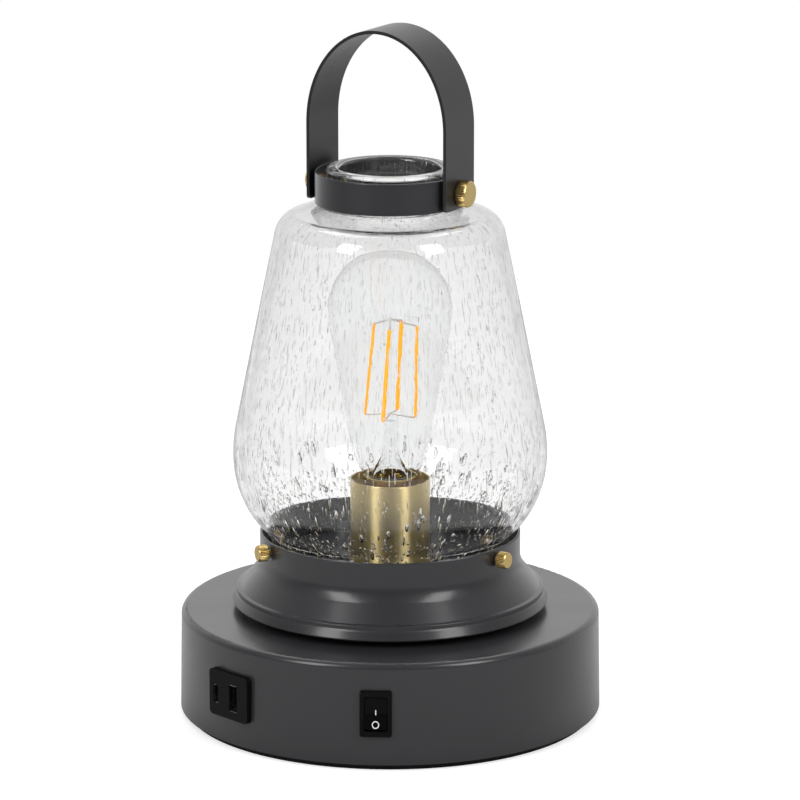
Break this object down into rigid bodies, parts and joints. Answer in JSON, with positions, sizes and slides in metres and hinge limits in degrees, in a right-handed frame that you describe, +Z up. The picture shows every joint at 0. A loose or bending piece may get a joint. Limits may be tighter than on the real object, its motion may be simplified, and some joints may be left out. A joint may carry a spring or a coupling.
{
  "type": "table lamp",
  "caption": "Lantern table lamp: drum base with rocker switch and charging ports, gallery, seeded glass shade, filament bulb, collar and strap handle.",
  "frame": {"origin": "centre of the pad's lower face, on the surface that the lamp stands on", "axes": "+Z up along the lamp's axis, -Y out through the middle of the rocker switch"},
  "size_m": [0.2032, 0.2075, 0.333],
  "materials": {
    "gunmetal_paint": "satin",
    "black_paint": "satin",
    "foam_pad": "matte",
    "zinc_steel": "satin",
    "cast_iron": "rough",
    "seeded_glass": "seeded, glossy",
    "clear_glass": "glossy",
    "brass": "satin, knurled heads",
    "antique_brass": "brushed",
    "black_plastic": "satin",
    "black_glass": "glossy",
    "solder": "satin",
    "filament": "satin",
    "nickel_wire": "satin",
    "nickel_shell": "satin",
    "circuit_board": "matte",
    "black_rubber": "matte",
    "lead_insulation": "satin"
  },
  "bodies": {
    "root": {"ballast_nuts": "zinc_steel", "ballast_weight": "cast_iron", "base_drum": "gunmetal_paint", "base_pad": "foam_pad", "bottom_cover": "black_paint", "cord_bushing": "black_rubber", "cover_screws": "zinc_steel", "cover_tabs": "zinc_steel", "crimp_cap": "lead_insulation", "gallery": "gunmetal_paint", "gallery_floor": "gunmetal_paint", "gallery_foot": "gunmetal_paint", "lamp_leads": "lead_insulation", "lamp_pipe": "zinc_steel", "module_board": "circuit_board", "module_cover": "black_plastic", "module_housing": "black_plastic", "pipe_nuts": "zinc_steel", "pipe_washer": "zinc_steel", "port_a_shell": "nickel_shell", "port_a_tongue": "black_plastic", "port_c_shell": "nickel_shell", "port_c_tongue": "black_plastic", "socket_contact": "brass", "socket_cup": "antique_brass", "socket_insulator": "black_plastic", "socket_shell": "brass", "switch_housing": "black_plastic", "switch_terminals": "brass"},
    "rocker": {"switch_rocker": "black_plastic"},
    "shade": {"glass_shade": "seeded_glass", "collar_band": "gunmetal_paint"},
    "handle": {"handle_strap": "gunmetal_paint"},
    "handle_screw_right": {"handle_screw_right": "brass"},
    "handle_screw_left": {"handle_screw_left": "brass"},
    "bulb": {"bulb_cap": "brass", "bulb_insulator": "black_glass", "bulb_tip": "solder", "bulb_glass": "clear_glass", "bulb_stem": "clear_glass", "bulb_filaments": "filament", "bulb_wires": "nickel_wire"},
    "gallery_screw_1": {"gallery_screw_1": "brass"},
    "gallery_screw_2": {"gallery_screw_2": "brass"},
    "gallery_screw_3": {"gallery_screw_3": "brass"}
  },
  "joints": [
    {"name": "rocker_tilt", "type": "hinge", "parent": "root", "child": "rocker", "pos_m": [0, -0.10029, 0.0281], "axis": [1, 0, 0], "range_deg": [0, 18]},
    {"name": "shade_lift", "type": "slide", "parent": "root", "child": "shade", "axis": [0, 0, 1], "range_m": [0, 0.15]},
    {"name": "handle_tilt", "type": "hinge", "parent": "shade", "child": "handle", "pos_m": [0, 0, 0.2571], "axis": [0.9063, -0.4226, 0], "range_deg": [-12, 12]},
    {"name": "handle_screw_right_out", "type": "slide", "parent": "shade", "child": "handle_screw_right", "axis": [0.9063, -0.4226, 0], "range_m": [0, 0.004]},
    {"name": "handle_screw_left_out", "type": "slide", "parent": "shade", "child": "handle_screw_left", "axis": [-0.9063, 0.4226, 0], "range_m": [0, 0.004]},
    {"name": "bulb_turn", "type": "hinge", "parent": "root", "child": "bulb", "pos_m": [0, 0, 0.1], "axis": [0, 0, 1], "range_deg": [0, 1080]},
    {"name": "gallery_screw_1_out", "type": "slide", "parent": "root", "child": "gallery_screw_1", "axis": [0.8434, -0.5373, 0], "range_m": [0, 0.002]},
    {"name": "gallery_screw_2_out", "type": "slide", "parent": "root", "child": "gallery_screw_2", "axis": [0.0436, 0.999, 0], "range_m": [0, 0.002]},
    {"name": "gallery_screw_3_out", "type": "slide", "parent": "root", "child": "gallery_screw_3", "axis": [-0.887, -0.4617, 0], "range_m": [0, 0.002]}
  ]
}
